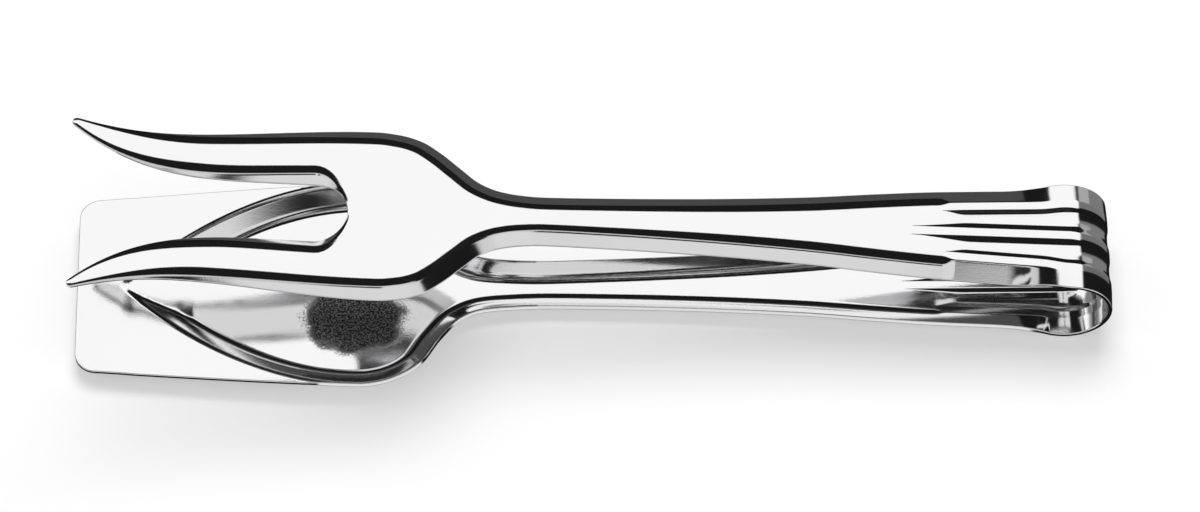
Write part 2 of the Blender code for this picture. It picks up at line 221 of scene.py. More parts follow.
def smooth_through(points):
    """Give a curve through (place, value) points that never swings past them."""
    places, values = np.array(points, dtype=float).T
    rises = np.diff(values) / np.diff(places)
    slopes = np.zeros(len(places))
    steady = rises[:-1] * rises[1:] > 0
    slopes[1:-1][steady] = 2 / (1 / rises[:-1][steady] + 1 / rises[1:][steady])

    def value(place):
        place = np.clip(place, places[0], places[-1])
        i = np.clip(np.searchsorted(places, place, side="right") - 1, 0, len(rises) - 1)
        step = places[i + 1] - places[i]
        t = (place - places[i]) / step
        return (
            (1 + 2 * t) * (1 - t) ** 2 * values[i] + t * t * (3 - 2 * t) * values[i + 1]
            + t * (1 - t) ** 2 * step * slopes[i] - t * t * (1 - t) * step * slopes[i + 1]
        )

    return value


def ease(value):
    """Go smoothly from 0 to 1 as value does."""
    value = np.clip(value, 0.0, 1.0)
    return value * value * (3 - 2 * value)


def soft_ramp(run, width):
    """A line that leaves 0 at run 0, with its corner rounded over a width."""
    inside = np.clip(run + width / 2, 0.0, width)
    return inside ** 2 / (2 * width) + np.maximum(run - width / 2, 0.0)


def soft_min(first, second, reach):
    """The smaller of two distances, blended where they are nearly alike."""
    blend = np.clip(0.5 + 0.5 * (second - first) / reach, 0.0, 1.0)
    return second * (1 - blend) + first * blend - reach * blend * (1 - blend)


def line_distances(points, line):
    """Distance from each point to a line of straight pieces."""
    nearest = np.full(len(points), np.inf)
    for start, end in zip(line, line[1:]):
        run = end - start
        offset = points - start
        share = np.clip(offset @ run / (run @ run), 0.0, 1.0)
        gap = offset - share[:, None] * run
        nearest = np.minimum(nearest, (gap * gap).sum(axis=1))
    return np.sqrt(nearest)


def inside_loop(points, loop):
    """Which of the points lie inside a closed outline."""
    inside = np.zeros(len(points), dtype=bool)
    x, y = points.T
    for (x0, y0), (x1, y1) in zip(loop, np.roll(loop, -1, axis=0)):
        if y0 == y1:
            continue
        crosses = (y0 > y) != (y1 > y)
        inside ^= crosses & (x < (x1 - x0) * (y - y0) / (y1 - y0) + x0)
    return inside


def arc_points(centre, radius, start, stop, steps):
    """Points on an arc, from one angle to another."""
    angles = np.linspace(start, stop, steps + 1)
    return [(centre[0] + radius * math.cos(a), centre[1] + radius * math.sin(a)) for a in angles]


def respaced(points, spacing):
    """The same line with points at an even spacing."""
    points = np.array(points, dtype=float)
    runs = np.concatenate([[0.0], np.cumsum(np.linalg.norm(np.diff(points, axis=0), axis=1))])
    places = np.linspace(0.0, runs[-1], math.ceil(runs[-1] / spacing) + 1)
    return np.stack([np.interp(places, runs, column) for column in points.T], axis=1)


def inwards(line):
    """The direction from each point of an edge into the sheet."""
    along = np.gradient(line, axis=0)
    along /= np.linalg.norm(along, axis=1)[:, None]
    along[0] = (0.0, 1.0)
    return np.stack([-along[:, 1], along[:, 0]], axis=1)


# The outline of each arm, as one half that a mirror completes

handle_share = smooth_through(HANDLE_WIDTH_SHARES)


def handle_half_width(station):
    share = handle_share(station / NECK_STATION)
    return NECK_HALF_WIDTH + (BOW_HALF_WIDTH - NECK_HALF_WIDTH) * share


def curve_points(near, far, curve, shares):
    """Points at those shares of the way from near to far, where the curve shapes the half-width."""
    return [
        (near[0] + (far[0] - near[0]) * share, near[1] + (far[1] - near[1]) * curve(share))
        for share in shares
    ]


def back_edge(widths, wide_place, steps):
    """The edge from a head's widest place back to the neck, and along the handle to the bow."""
    neck = (NECK_STATION, NECK_HALF_WIDTH)
    back = np.linspace(1.0, 0.0, steps + 1)
    edge = curve_points(neck, wide_place, smooth_through(widths), back)
    stations = np.linspace(NECK_STATION, 0.0, 2 * steps + 1)[1:]
    return edge + [(station, handle_half_width(station)) for station in stations]


def fork_edge(steps=CURVE_STEPS):
    """The fork arm's edge, from the middle of the tine gap round a tine to the bow."""
    gap_centre = (TINE_GAP_STATION + TINE_GAP_HALF_WIDTH, 0.0)
    tip_centre = (FORK_REACH - TINE_TIP_RADIUS, TINE_TIP_SPREAD)
    inner_rise = TINE_TIP_SPREAD - TINE_GAP_HALF_WIDTH - TINE_TIP_RADIUS
    inner_slope = math.atan2(3 * inner_rise, tip_centre[0] - TINE_FLARE_STATION)
    outer_rise = TINE_TIP_SPREAD + TINE_TIP_RADIUS - TINE_WAIST_HALF_WIDTH
    outer_slope = math.atan2(2 * outer_rise, tip_centre[0] - TINE_WAIST_STATION)
    tip = arc_points(
        tip_centre, TINE_TIP_RADIUS, inner_slope - math.pi / 2, outer_slope + math.pi / 2, steps,
    )

    flare = (TINE_FLARE_STATION, TINE_GAP_HALF_WIDTH)
    waist = (TINE_WAIST_STATION, TINE_WAIST_HALF_WIDTH)
    wide_place = (FORK_WIDE_STATION, FORK_HALF_WIDTH)
    out = np.linspace(0.0, 1.0, steps + 1)
    back = np.linspace(1.0, 0.0, steps + 1)
    edge = arc_points(gap_centre, TINE_GAP_HALF_WIDTH, math.pi, math.pi / 2, steps)
    edge += curve_points(flare, tip[0], lambda share: share ** 3, out[:-1])
    edge += tip
    edge += curve_points(waist, tip[-1], lambda share: share ** 2, back[1:])
    edge += curve_points(wide_place, waist, ease, back[1:-1])
    return respaced(edge + back_edge(FORK_SHOULDER_SHARES, wide_place, steps), EDGE_SPACING)


def spatula_edge(steps=CURVE_STEPS):
    """The spatula arm's edge, from the middle of the blade's end to the bow."""
    corner = (BLADE_CORNER_STATION, BLADE_END_HALF_WIDTH - BLADE_CORNER_RADIUS)
    corner_end = (BLADE_CORNER_STATION, BLADE_END_HALF_WIDTH)
    wide_place = (BLADE_WIDE_STATION, BLADE_HALF_WIDTH)
    back = np.linspace(1.0, 0.0, steps + 1)
    edge = [(BLADE_REACH, 0.0)]
    edge += arc_points(corner, BLADE_CORNER_RADIUS, 0.0, math.pi / 2, steps)
    edge += curve_points(
        wide_place, corner_end, lambda share: share ** BLADE_TAPER_POWER, back[1:-1],
    )
    return respaced(edge + back_edge(BLADE_SHOULDER_SHARES, wide_place, steps), EDGE_SPACING)


def leaf_half_width(station):
    """Half-width of the leaf pressed into the blade, from 0 at its tip."""
    share = (LEAF_TIP_STATION - station) / (LEAF_TIP_STATION - BLADE_WIDE_STATION)
    return BLADE_HALF_WIDTH * (1 - (1 - np.clip(share, 0.0, 1.0)) ** 2)


def leaf_edge():
    """The pointed edge of the leaf, from its tip to the widest place."""
    stations = np.linspace(LEAF_TIP_STATION, BLADE_WIDE_STATION, LEAF_EDGE_STEPS + 1)
    return respaced([(station, leaf_half_width(station)) for station in stations], EDGE_SPACING)


# The offset of the outer face

def flute_corners(station):
    """Where the crown turns: distances from the centre line, the slopes after, the roundings."""
    middle = ease((MIDDLE_FLANK_STATION - station) / MIDDLE_FLANK_FADE)
    outer = ease((OUTER_FLANK_STATION - station) / OUTER_FLANK_FADE)
    middle_width = MIDDLE_FLANK_WIDTH * np.maximum(middle, LEAST_FLANK_SHARE)
    outer_width = OUTER_FLANK_WIDTH * np.maximum(outer, LEAST_FLANK_SHARE)
    outer_rib = handle_half_width(station) - CROWN_INSET - OUTER_RIB_WIDTH
    floor_start = MIDDLE_RIB_HALF_WIDTH + middle_width
    floor_end = outer_rib - outer_width
    floor_middle = (floor_start + floor_end) / 2
    places = (MIDDLE_RIB_HALF_WIDTH, floor_start, floor_middle, floor_end, outer_rib)
    sag = FLOOR_SAG_SLOPE * outer
    middle = middle * MIDDLE_FLANK_DEPTH
    outer = outer * OUTER_FLANK_DEPTH
    floor_slope = (middle - outer) / (floor_end - floor_start)
    slopes = (
        -middle / middle_width, floor_slope - sag, floor_slope + sag, outer / outer_width, 0.0,
    )
    middle_corner = middle_width * CORNER_SHARE
    outer_corner = outer_width * CORNER_SHARE
    floor_corner = (floor_end - floor_start) * FLOOR_SAG_WIDTH_SHARE
    widths = (middle_corner, middle_corner, floor_corner, outer_corner, outer_corner)
    return places, slopes, widths


def flute_offset(station, y):
    """Offset of the crown, with its flutes and rounded ribs."""
    places, slopes, widths = flute_corners(np.clip(station, 0.0, MIDDLE_FLANK_STATION))
    offset = 0.0
    before = 0.0
    for place, slope, width in zip(places, slopes, widths):
        offset = offset + (slope - before) * soft_ramp(y - place, width)
        before = slope
    return np.where(station < MIDDLE_FLANK_STATION, offset, 0.0)


fork_rim_depth = smooth_through((*BOW_RIM_DEPTHS, *zip(FORK_STATIONS, FORK_RIM_DEPTHS)))
fork_skirt_width = smooth_through((
    (FACET_START_STATION, BOW_SKIRT_WIDTH), (FACET_FULL_STATION, FORK_SKIRT_WIDTHS[0]),
    *zip(FORK_STATIONS, FORK_SKIRT_WIDTHS),
))
fork_facet_width = smooth_through((
    (FACET_START_STATION, BOW_FACET_WIDTH), (FACET_FULL_STATION, FORK_FACET_WIDTHS[0]),
    *zip(FORK_STATIONS, FORK_FACET_WIDTHS),
))
fork_crease_width = smooth_through((
    (FACET_START_STATION, BOW_CREASE_WIDTH), (FACET_FULL_STATION, FORK_CREASE_WIDTH),
))
spatula_rim_depth = smooth_through((*BOW_RIM_DEPTHS, *zip(SPATULA_STATIONS, SPATULA_RIM_DEPTHS)))
spatula_wall_width = smooth_through((
    (FACET_START_STATION, BOW_SKIRT_WIDTH), *zip(SPATULA_STATIONS, SPATULA_WALL_WIDTHS),
))
spatula_crease_width = smooth_through((
    (FACET_START_STATION, BOW_CREASE_WIDTH), (FACET_FULL_STATION, SPATULA_FIRST_CREASE_WIDTH),
    *zip(SPATULA_STATIONS, SPATULA_CREASE_WIDTHS),
))


def skirt_slopes(depth, width, facet):
    """The slope of the facet, and what the skirt adds to it."""
    slope = np.minimum(FACET_SLOPE, depth / (width + facet))
    return slope, (depth - slope * (width + facet)) / width


def skirt_offset(gap, depth, width, facet, crease):
    """Offset of the facet and skirt, at a distance from the edge where they are that deep."""
    slope, turn = skirt_slopes(depth, width, facet)
    crease = np.minimum(crease, width)
    return -slope * soft_ramp(width + facet - gap, crease) - turn * soft_ramp(width - gap, crease)


def gap_end_share(station, y):
    """How much of the skirt is left round the end of the tine gap, where it narrows."""
    behind = TINE_GAP_STATION + TINE_GAP_HALF_WIDTH - station
    reach = np.hypot(behind, y)
    turned = ease(behind / np.maximum(reach, MERGE_DISTANCE))
    return 1 - GAP_END_SHARE * turned * ease((GAP_END_REACH - reach) / GAP_END_FADE)


class ForkForm:
    """The fork arm's outline and the offset of its outer face."""

    def __init__(self):
        self.edge = fork_edge()
        self.ring = self.edge

    def skirt_width(self, station, y):
        return fork_skirt_width(station) * gap_end_share(station, y)

    def facet_width(self, station, y):
        return fork_facet_width(station) * gap_end_share(station, y)

    def crease_width(self, station):
        return fork_crease_width(station)

    def offset(self, station, y):
        y = np.abs(y)
        gap = line_distances(np.stack([station, y], axis=1), self.edge)
        depth = fork_rim_depth(station) * gap_end_share(station, y)
        skirt = skirt_offset(
            gap, depth, self.skirt_width(station, y), self.facet_width(station, y),
            self.crease_width(station),
        )
        return flute_offset(station, y) + skirt


def on_blade(station, y):
    """Which points lie on the flat of the blade, outside the leaf."""
    outside = (np.abs(y) > leaf_half_width(station)) | (station >= LEAF_TIP_STATION)
    return (station > BLADE_WIDE_STATION) & outside


class SpatulaForm:
    """The spatula arm's outline and the offset of its outer face."""

    def __init__(self):
        self.edge = spatula_edge()
        handle = self.edge[self.edge[:, 0] < BLADE_WIDE_STATION]
        self.ring = np.concatenate([leaf_edge(), handle])
        extension = (LEAF_TIP_STATION + LEAF_TIP_EXTENSION, -LEAF_TIP_SLOPE * LEAF_TIP_EXTENSION)
        self.recess = np.concatenate([[extension], self.ring])

    def skirt_width(self, station, y):
        return spatula_wall_width(station)

    def facet_width(self, station, y):
        return BOW_FACET_WIDTH

    def crease_width(self, station):
        return spatula_crease_width(station)

    def recess_gap(self, station, y):
        """Distance inside one side of the recess, with that side run on past the leaf's tip."""
        distance = line_distances(np.stack([station, y], axis=1), self.recess)
        past_tip = LEAF_TIP_SLOPE * (LEAF_TIP_STATION - station)
        side = np.where(station < LEAF_TIP_STATION, leaf_half_width(station), past_tip)
        return np.where((station > BLADE_WIDE_STATION) & (y > side), -distance, distance)

    def offset(self, station, y):
        y = np.abs(y)
        gap = soft_min(self.recess_gap(station, y), self.recess_gap(station, -y), LEAF_TIP_BLEND)
        depth = spatula_rim_depth(station)
        width = spatula_wall_width(station)
        slope, turn = skirt_slopes(depth, width, BOW_FACET_WIDTH)
        wall = skirt_offset(gap, depth, width, BOW_FACET_WIDTH, spatula_crease_width(station))
        top = soft_ramp(-gap, LEAF_TOP_CREASE_WIDTH) * (slope + turn)
        wall = wall + np.where(station > NECK_STATION, top, 0.0)
        run = np.clip((LEAF_TIP_STATION - station) / LEAF_DISH_LENGTH, 0.0, 1.0)
        dish = -depth * (1 - ease(run))
        reach = np.minimum(LEAF_DISH_BLEND, MERGE_DISTANCE - dish)
        return flute_offset(station, y) + soft_min(wall, dish, reach)


# Making the pieces

def flute_columns(station):
    """Distances from the centre line at which the flutes are drawn, at a station."""
    places, _, widths = flute_corners(station)
    columns = [places[0] / 2]
    for place, width in zip(places, widths):
        columns += [place + share * width for share in CREASE_SHARES]
    return columns


def section_columns(edge_radius):
    """Distances from the centre line at which the whole strip is drawn, at the end of the bow."""
    facet_edge = BOW_HALF_WIDTH - BOW_SKIRT_WIDTH
    columns = [0.0] + flute_columns(0.0)
    for place in (facet_edge - BOW_FACET_WIDTH, facet_edge):
        columns += [place + share * BOW_CREASE_WIDTH for share in CREASE_SHARES]
    columns += [facet_edge + BOW_SKIRT_WIDTH * share for share in SKIRT_SHARES]
    columns.append(BOW_HALF_WIDTH - edge_radius)
    return sorted(columns)


def flute_points():
    """Points along the flutes of a handle, row by row."""
    stations = np.arange(FLUTE_ROW_SPACING, MIDDLE_FLANK_STATION, FLUTE_ROW_SPACING)
    return np.array([(station, y) for station in stations for y in flute_columns(station)])


def ring_points(form):
    """Points that follow an edge over its skirt and past the crease."""
    line = form.ring
    width = form.skirt_width(*line.T)
    facet = form.facet_width(*line.T)
    crease = np.minimum(form.crease_width(line[:, 0]), width)
    insets = [width * share for share in SKIRT_SHARES[:-1]]
    insets += [width - crease * share for share in CREASE_SHARES]
    insets += [width + facet - crease * share for share in CREASE_SHARES]
    points = []
    for inset in insets:
        moved = line + inwards(line) * inset[:, None]
        gaps = line_distances(moved, line)
        points.append(moved[gaps > CLOSENESS_SHARE * inset])
    return np.concatenate(points)


def fill_points(form, loop):
    """A staggered grid over the flat parts of the head and handle."""
    rows = np.arange(MIDDLE_FLANK_STATION, FORK_REACH, FILL_SPACING)
    columns = np.arange(FILL_SPACING, BLADE_HALF_WIDTH, FILL_SPACING)
    grid = np.array([
        (station, y + (row % 2) * FILL_SPACING / 2)
        for row, station in enumerate(rows) for y in columns
    ])
    grid = grid[inside_loop(grid, loop)]
    grid = grid[line_distances(grid, form.edge) > FILL_CLEARANCE]
    gaps = line_distances(grid, form.ring)
    reach = form.skirt_width(*grid.T) + form.facet_width(*grid.T)
    reach += form.crease_width(grid[:, 0]) / 2 + FILL_SPACING / 2
    clear = gaps > reach
    if form.ring is not form.edge:
        clear |= on_blade(*grid.T) & (gaps > FILL_CLEARANCE)
    return grid[clear]


def leaf_tip_points():
    """A fine grid round the leaf's tip, where its two walls run into one."""
    stations = np.arange(-LEAF_TIP_REACH, LEAF_TIP_REACH / 4, LEAF_TIP_SPACING) + LEAF_TIP_STATION
    offsets = np.arange(LEAF_TIP_SPACING, LEAF_TIP_REACH / 2, LEAF_TIP_SPACING)
    return np.array([(station, y) for station in stations for y in offsets])


def half_arm(form, edge_radius):
    """Fill half an outline: flat points, triangles, and the indices along the edge and section."""
    outline = form.edge + inwards(form.edge) * edge_radius
    outline[0, 1] = 0.0
    outline[-1] = (0.0, BOW_HALF_WIDTH - edge_radius)
    section = [(0.0, y) for y in section_columns(edge_radius)[-2:0:-1]]
    centre = np.arange(0.0, outline[0, 0] - FLUTE_ROW_SPACING / 2, FLUTE_ROW_SPACING)
    loop = np.concatenate([outline, section, [(station, 0.0) for station in centre]])

    inner = [flute_points(), fill_points(form, loop), ring_points(form)]
    if form.ring is not form.edge:
        for share in TOP_CREASE_SHARES:
            line = form.ring + inwards(form.ring) * LEAF_TOP_CREASE_WIDTH * share
            inner.append(line[line_distances(line, form.edge) > edge_radius * 2])
        inner.append(leaf_tip_points())
    inner = np.concatenate(inner)
    inner = inner[(inner > edge_radius).all(axis=1)]
    inner = inner[inside_loop(inner, loop)]
    inner = inner[line_distances(inner, outline) > edge_radius]

    count = len(loop)
    ring = [(i, (i + 1) % count) for i in range(count)]
    points, _, triangles, sources, *_ = delaunay_2d_cdt(
        [tuple(point) for point in np.concatenate([loop, inner])], ring, [list(range(count))], 1,
        MERGE_DISTANCE,
    )
    place_of = {old: new for new, olds in enumerate(sources) for old in olds}
    edge_run = [place_of[i] for i in range(len(outline))]
    section_run = [place_of[i] for i in range(len(outline) - 1, len(outline) + len(section) + 1)]
    return np.array([tuple(point) for point in points]), triangles, edge_run, section_run


def unit(vectors):
    return vectors / np.linalg.norm(vectors, axis=1)[:, None]


def outer_face(form, station, y):
    """Places and normals of the outer face, level at the end of the bow and the centre line."""
    rise_s = form.offset(station + SLOPE_STEP, y) - form.offset(station - SLOPE_STEP, y)
    rise_y = form.offset(station, y + SLOPE_STEP) - form.offset(station, y - SLOPE_STEP)
    slopes = np.stack([rise_s, rise_y], axis=1) / (2 * SLOPE_STEP)
    slopes[station < MERGE_DISTANCE, 0] = 0.0
    slopes[y < MERGE_DISTANCE, 1] = 0.0
    places = np.stack([station, y, -form.offset(station, y)], axis=1)
    return places, -unit(np.stack([*slopes.T, np.ones(len(places))], axis=1))


def solid_half(form, edge_radius):
    """Half an arm as a solid with rounded edges, in the arm's own frame.

    The frame's origin is where the bow ends, on the outer face, with X to the head and Z to the
    inside of the tongs. Returns the places, the normals and the faces with the kind of each.
    """
    flat, triangles, edge_run, section_run = half_arm(form, edge_radius)
    outer, normals = outer_face(form, *flat.T)
    places = [outer, outer - normals * SHEET]
    directions = [normals, -normals]
    count = len(flat)
    faces = [(tuple(reversed(face)), "outer") for face in triangles]
    faces += [(tuple(i + count for i in face), "inner") for face in triangles]

    edge = outer[edge_run]
    along = np.gradient(edge, axis=0)
    along[0] = (0.0, 1.0, 0.0)
    along[-1] = (-1.0, 0.0, 0.0)
    rim, rim_normals = rim_rings(edge, normals[edge_run], along, edge_radius)
    run = len(edge_run)
    rows = [edge_run]
    rows += [range(2 * count + i * run, 2 * count + (i + 1) * run) for i in range(len(rim))]
    rows.append([i + count for i in edge_run])
    places += rim
    directions += rim_normals
    for near, far in zip(rows, rows[1:]):
        for i in range(len(near) - 1):
            faces.append(((near[i], near[i + 1], far[i + 1], far[i]), "rim"))

    faces += [
        ((a, b, b + count, a + count), "cap") for a, b in zip(section_run, section_run[1:])
    ]
    faces.append((tuple(row[-1] for row in reversed(rows)), "cap"))
    return np.concatenate(places), np.concatenate(directions), faces


def rim_rings(edge, normals, along, edge_radius):
    """Rows of points round the sheet's edge, from its outer face to its inner one."""
    outward = unit(np.cross(normals, along))
    turns = np.linspace(0.0, math.pi / 2, RIM_STEPS + 1)
    rows, row_normals = [], []
    for turn in turns[1:]:
        drop = edge_radius * (1 - math.cos(turn))
        rows.append(edge + outward * edge_radius * math.sin(turn) - normals * drop)
        row_normals.append(outward * math.sin(turn) + normals * math.cos(turn))
    for turn in turns[:-1]:
        drop = SHEET - edge_radius * (1 - math.sin(turn))
        rows.append(edge + outward * edge_radius * math.cos(turn) - normals * drop)
        row_normals.append(outward * math.cos(turn) - normals * math.sin(turn))
    return rows, row_normals


def bow_half(form, edge_radius):
    """Half the bow as a solid: the strip's section swept round the bend."""
    columns = np.array(section_columns(edge_radius))
    outer, normals = outer_face(form, np.zeros(len(columns)), columns)
    rim, rim_normals = rim_rings(outer[-1:], normals[-1:], [(-1.0, 0.0, 0.0)], edge_radius)
    inner = outer - normals * SHEET
    section = np.concatenate([outer, *rim, inner[::-1]])
    section_normals = np.concatenate([normals, *rim_normals, -normals[::-1]])

    places, directions, faces = [], [], []
    count = len(section)
    centre = np.array((0.0, 0.0, BOW_RADIUS))
    for step in range(BOW_STEPS + 1):
        spin = np.array(Matrix.Rotation(-BOW_TURN * step / BOW_STEPS, 3, "Y"))
        places.append((section - centre) @ spin.T + centre)
        directions.append(section_normals @ spin.T)
    kinds = ["outer"] * (len(columns) - 1)
    kinds += ["rim"] * (count - 2 * len(columns) + 1)
    kinds += ["inner"] * (len(columns) - 1)
    for step in range(BOW_STEPS):
        near, far = step * count, (step + 1) * count
        for i in range(count - 1):
            faces.append(((near + i, near + i + 1, far + i + 1, far + i), kinds[i]))
    for start, flip in ((0, True), (BOW_STEPS * count, False)):
        for i in range(len(columns) - 1):
            face = (start + i, start + i + 1, start + count - 2 - i, start + count - 1 - i)
            faces.append((tuple(reversed(face)) if flip else face, "cap"))
        rim = tuple(range(start + len(columns) - 1, start + count - len(columns) + 1))
        faces.append((tuple(reversed(rim)) if flip else rim, "cap"))
    return np.concatenate(places), np.concatenate(directions), faces


def mirrored(places, normals, faces):
    """Complete a half solid with its mirror image across the centre line."""
    on_plane = np.abs(places[:, 1]) < MERGE_DISTANCE
    places = places.copy()
    places[on_plane, 1] = 0.0
    twin = np.arange(len(places))
    twin[~on_plane] = len(places) + np.arange((~on_plane).sum())
    flip = np.array((1.0, -1.0, 1.0))
    all_places = np.concatenate([places, places[~on_plane] * flip])
    all_normals = np.concatenate([normals, normals[~on_plane] * flip])
    twins = [(tuple(int(twin[i]) for i in reversed(face)), kind) for face, kind in faces]
    return all_places, all_normals, faces + twins


def add_object(name, data):
    made = bpy.data.objects.new(name, data)
    bpy.context.scene.collection.objects.link(made)
    return made


def make_piece(name, half, matrix, materials):
    """Make the object of a whole piece, with the exact normals of the pressed surface."""
    places, normals, faces = mirrored(*half)
    turn = np.array(matrix.to_3x3())
    places = places @ turn.T + np.array(matrix.translation)
    normals = normals @ turn.T
    mesh = bpy.data.meshes.new(name)
    mesh.from_pydata(places.tolist(), [], [face for face, _ in faces])
    for material in materials:
        mesh.materials.append(material)
    mesh.shade_smooth()
    corner_normals = []
    for polygon, (face, kind) in zip(mesh.polygons, faces):
        polygon.material_index = 1 if kind == "inner" else 0
        if kind == "cap":
            corner_normals += [tuple(polygon.normal)] * len(face)
        else:
            corner_normals += [tuple(normals[i]) for i in polygon.vertices]
    mesh.normals_split_custom_set(corner_normals)
    mesh.validate()
    return add_object(name, mesh)


def arm_matrix(turn):
    """The arm's frame after that much turn round the bow from the lower arm's."""
    place = (
        BOW_START_X + BOW_RADIUS * math.sin(turn), 0.0, BOW_RADIUS - BOW_RADIUS * math.cos(turn),
    )
    return Matrix.Translation(place) @ Matrix.Rotation(-turn, 4, "Y")


BOW_FRAME = Matrix.Translation((BOW_START_X, 0.0, 0.0))
LOWER_ARM = BOW_FRAME @ Matrix.Rotation(math.pi, 4, "Z")
UPPER_ARM = arm_matrix(BOW_TURN)


# Shader maths

class Graph:
    """A node tree that is built by expressions."""

    def __init__(self, tree):
        self.tree = tree
        tree.nodes.clear()

    def node(self, kind, settings=None, values=None, output=0):
        """Add a node: its settings first, then the values or links of its sockets."""
        made = self.tree.nodes.new(kind)
        for name, value in (settings or {}).items():
            setattr(made, name, value)
        for name, value in (values or {}).items():
            if isinstance(value, Wire):
                self.tree.links.new(value.socket, made.inputs[name])
            else:
                made.inputs[name].default_value = value
        return Wire(self, made.outputs[output]) if made.outputs else None


class Wire:
    """An output socket, so that shader maths can be written as Python expressions."""

    def __init__(self, graph, socket):
        self.graph = graph
        self.socket = socket

    def maths(self, operation, first, second):
        values = {0: first, 1: second}
        return self.graph.node("ShaderNodeMath", {"operation": operation}, values)

    def __add__(self, other):
        return self.maths("ADD", self, other)

    __radd__ = __add__

    def __sub__(self, other):
        return self.maths("SUBTRACT", self, other)

    def __rsub__(self, other):
        return self.maths("SUBTRACT", other, self)

    def __mul__(self, other):
        return self.maths("MULTIPLY", self, other)

    __rmul__ = __mul__

    def output(self, name):
        """Another output of the same node."""
        return Wire(self.graph, self.socket.node.outputs[name])


def step_between(graph, value, low, high):
    """0 below low and 1 above high, eased between them. High may be the smaller."""
    return graph.node("ShaderNodeMapRange", {"interpolation_type": "SMOOTHSTEP"}, {
        "Value": value, "From Min": low, "From Max": high,
    })


def noise(graph, place, scale, detail, roughness=0.5):
    """Cloudy noise, mostly near 0.5, with about that many lumps to a metre."""
    return graph.node("ShaderNodeTexNoise", {"noise_dimensions": "3D"}, {
        "Vector": place, "Scale": scale, "Detail": detail, "Roughness": roughness,
    })


def mix(graph, share, first, second):
    """The first colour, with that share of the second."""
    colours = {0: share, 6: first, 7: second}
    return graph.node("ShaderNodeMix", {"data_type": "RGBA"}, colours, output=2)


# A dark reflection painted onto the inner face over the floor of the leaf, with more roughness
# there: its middle, its half-sizes, and the noises that make its edge wander and its inside
# speckled

PAINTED_REFLECTION_PATCH = (-0.0555, -0.0080)
PAINTED_REFLECTION_PATCH_SIZE = (0.0122, 0.0102)
PAINTED_REFLECTION_EDGE = (1.15, 0.65)
PAINTED_REFLECTION_EDGE_NOISE = 0.8
WANDER_SCALE = 260.0
SPECKLE_SCALE = 2100.0
SPECKLE_EDGE = (0.36, 0.60)
SPECKLE_SHARE = 0.28

# The grain of the steel: how fine its noises are, and how much each of them adds

STROKE_SCALES = (40.0, 900.0, 900.0)
CLOUD_SCALE = 45.0
EVEN_ROUGHNESS = 0.7
STROKE_ROUGHNESS = 0.35
CLOUD_ROUGHNESS = 0.25
GRAIN_HEIGHT = 0.7
STROKE_HEIGHT = 0.3
GRAIN_DEPTH = 0.00004


def painted_reflection_share(graph, place):
    """How much painted dark reflection the inner face takes at a place: 0 outside the patch, and
    speckled inside it.
    """
    parts = graph.node("ShaderNodeSeparateXYZ", values={"Vector": place})
    x, y = parts, parts.output("Y")
    speckle = noise(graph, place, SPECKLE_SCALE, 1.0)
    wander = noise(graph, place, WANDER_SCALE, 2.0)
    along = (x - PAINTED_REFLECTION_PATCH[0]) * (1 / PAINTED_REFLECTION_PATCH_SIZE[0])
    across = (y - PAINTED_REFLECTION_PATCH[1]) * (1 / PAINTED_REFLECTION_PATCH_SIZE[1])
    ragged = (wander - 0.5) * PAINTED_REFLECTION_EDGE_NOISE + (speckle - 0.5) * PAINTED_REFLECTION_EDGE_NOISE
    patch = step_between(graph, along * along + across * across + ragged, *PAINTED_REFLECTION_EDGE)
    speckles = SPECKLE_SHARE * step_between(graph, speckle, *SPECKLE_EDGE)
    return patch * (1 - SPECKLE_SHARE + speckles)


def polished_steel(name, look, inner):
    """Pressed stainless steel, polished after pressing. The inner face keeps more of its grain."""
    material = bpy.data.materials.new(name)
    material.use_nodes = True
    graph = Graph(material.node_tree)
    place = graph.node("ShaderNodeTexCoord", output="Object")
    stretched = graph.node("ShaderNodeVectorMath", {"operation": "MULTIPLY"}, {
        0: place, 1: STROKE_SCALES,
    })
    grain = noise(graph, place, look.grain_scale, 3.0, 0.6)
    strokes = noise(graph, stretched, 1.0, 2.0, 0.55)
    cloud = noise(graph, place, CLOUD_SCALE, 2.0)
    base = look.inner_roughness if inner else look.outer_roughness
    roughness = base * (EVEN_ROUGHNESS + STROKE_ROUGHNESS * strokes + CLOUD_ROUGHNESS * cloud)
    bump = graph.node("ShaderNodeBump", values={
        "Strength": look.inner_grain if inner else look.outer_grain,
        "Distance": GRAIN_DEPTH, "Height": grain * GRAIN_HEIGHT + strokes * STROKE_HEIGHT,
    })
    tint = mix(graph, cloud, (*look.colour_low, 1.0), (*look.colour_high, 1.0))
    if inner:
        # The inner face also takes a painted dark reflection over the leaf's floor, and more
        # roughness there
        painted_reflection = painted_reflection_share(graph, place)
        roughness = roughness + painted_reflection * look.painted_reflection_roughness
        tint = mix(graph, painted_reflection, tint, (*look.painted_reflection_colour, 1.0))
    shader = graph.node("ShaderNodeBsdfPrincipled", values={
        "Base Color": tint, "Metallic": 1.0, "Roughness": roughness, "Normal": bump,
    })
    graph.node("ShaderNodeOutputMaterial", values={"Surface": shader})
    return material


# The sizes and colours that a user would change, and the limits of the common kinds

COLOUR = {"subtype": "COLOR", "size": 3, "min": 0.0, "max": 1.0}
SHARE = {"subtype": "FACTOR", "min": 0.0, "max": 1.0}
LEVEL = {"min": 0.0, "max": 5.0}


class TongsSheet(bpy.types.PropertyGroup):
    """How the strip's edges are finished."""

    edge_radius: bpy.props.FloatProperty(
        name="Edge radius", description="Rounding of the sheet's edges", default=0.00022,
        min=0.00005, max=0.00045, subtype="DISTANCE", unit="LENGTH", precision=5,
    )


